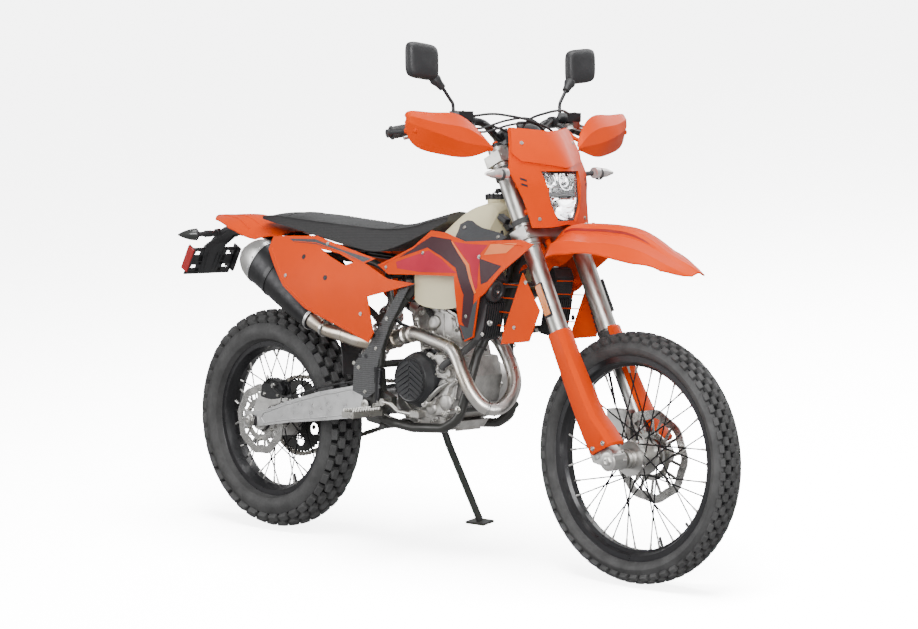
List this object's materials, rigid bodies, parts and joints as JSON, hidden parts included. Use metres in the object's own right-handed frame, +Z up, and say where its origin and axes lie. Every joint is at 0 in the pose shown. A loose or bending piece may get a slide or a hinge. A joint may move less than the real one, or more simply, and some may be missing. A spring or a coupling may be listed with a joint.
{
  "type": "enduro motorcycle",
  "caption": "Road-legal single-cylinder enduro dirt bike with knobbly tyres, leaning on its side stand; wheels, steering and stand move.",
  "frame": {"origin": "centre of the bounding box on the ground, the bike leaning nine degrees on its side stand", "axes": "+X forward, +Y to the rider's left, +Z up"},
  "size_m": [2.283, 0.8881, 1.5211],
  "materials": {
    "tyre": "matt rubber",
    "black_alloy": "anodised black",
    "cast_alloy": "satin cast",
    "fork_alloy": "satin anodised",
    "swingarm_alloy": "brushed",
    "steel": "ground",
    "exhaust_steel": "welded",
    "silencer_skin": "brushed dark",
    "frame_paint": "satin black",
    "cover_black": "satin black",
    "orange": "gloss",
    "black_plastic": "matt",
    "tank_plastic": "translucent",
    "seat_cover": "ribbed vinyl",
    "lamp_lens": "clear",
    "tail_lens": "translucent red",
    "radiator_black": "black finned",
    "rubber": "ribbed",
    "lever_alloy": "satin",
    "shock_steel": "white coil"
  },
  "bodies": {
    "chassis": {"chain": "steel", "chain_guide": "black_plastic", "clutch_cover": "cover_black", "crankcase": "cast_alloy", "cylinder": "cast_alloy", "exhaust_header": "exhaust_steel", "foot_controls": "lever_alloy", "frame_guards": "black_plastic", "front_sprocket": "steel", "fuel_cap": "black_plastic", "fuel_tank": "tank_plastic", "ignition_cover": "cast_alloy", "inner_fender": "black_plastic", "main_frame": "frame_paint", "pivot_bolt": "steel", "plate_holder": "black_plastic", "radiator_guards": "orange", "radiators": "radiator_black", "rear_axle": "steel", "rear_caliper": "cast_alloy", "rear_fender": "orange", "rear_indicators": "black_plastic", "seat": "seat_cover", "shock": "shock_steel", "shrouds": "orange", "side_panels": "orange", "silencer": "silencer_skin", "silencer_cap": "exhaust_steel", "subframe": "frame_paint", "swingarm": "swingarm_alloy", "tail_lamp": "tail_lens", "tank_trims": "black_plastic"},
    "steering": {"brake_hose": "rubber", "fork_guards": "orange", "fork_legs": "fork_alloy", "fork_tubes": "fork_alloy", "front_axle": "steel", "front_caliper": "cast_alloy", "front_fender": "orange", "front_indicators": "lamp_lens", "grips": "rubber", "handguards": "orange", "handlebar": "black_alloy", "headlamp": "lamp_lens", "headlight_mask": "orange", "levers": "lever_alloy", "mirrors": "black_plastic", "triple_clamps": "fork_alloy"},
    "front_wheel": {"front_disc": "steel", "front_hub": "cast_alloy", "front_rim": "black_alloy", "front_spokes": "black_alloy", "front_tyre": "tyre"},
    "rear_wheel": {"rear_disc": "steel", "rear_hub": "cast_alloy", "rear_rim": "black_alloy", "rear_spokes": "black_alloy", "rear_sprocket": "steel", "rear_tyre": "tyre"},
    "side_stand": {"side_stand": "frame_paint"}
  },
  "joints": [
    {"name": "steering_turn", "type": "hinge", "parent": "chassis", "child": "steering", "pos_m": [0.3971, -0.03298, 1.02898], "axis": [-0.4399, 0.1405, 0.887], "range_deg": [-40, 40]},
    {"name": "front_wheel_spin", "type": "hinge", "parent": "steering", "child": "front_wheel", "pos_m": [0.79754, -0.14165, 0.34287], "axis": [0, 0.9877, -0.1564], "continuous": true},
    {"name": "rear_wheel_spin", "type": "hinge", "parent": "chassis", "child": "rear_wheel", "pos_m": [-0.68446, -0.14238, 0.33822], "axis": [0, 0.9877, -0.1564], "continuous": true},
    {"name": "side_stand_fold", "type": "hinge", "parent": "chassis", "child": "side_stand", "pos_m": [-0.11846, 0.00859, 0.32616], "axis": [0, 0.9947, 0.1028], "range_deg": [0, 98]}
  ]
}
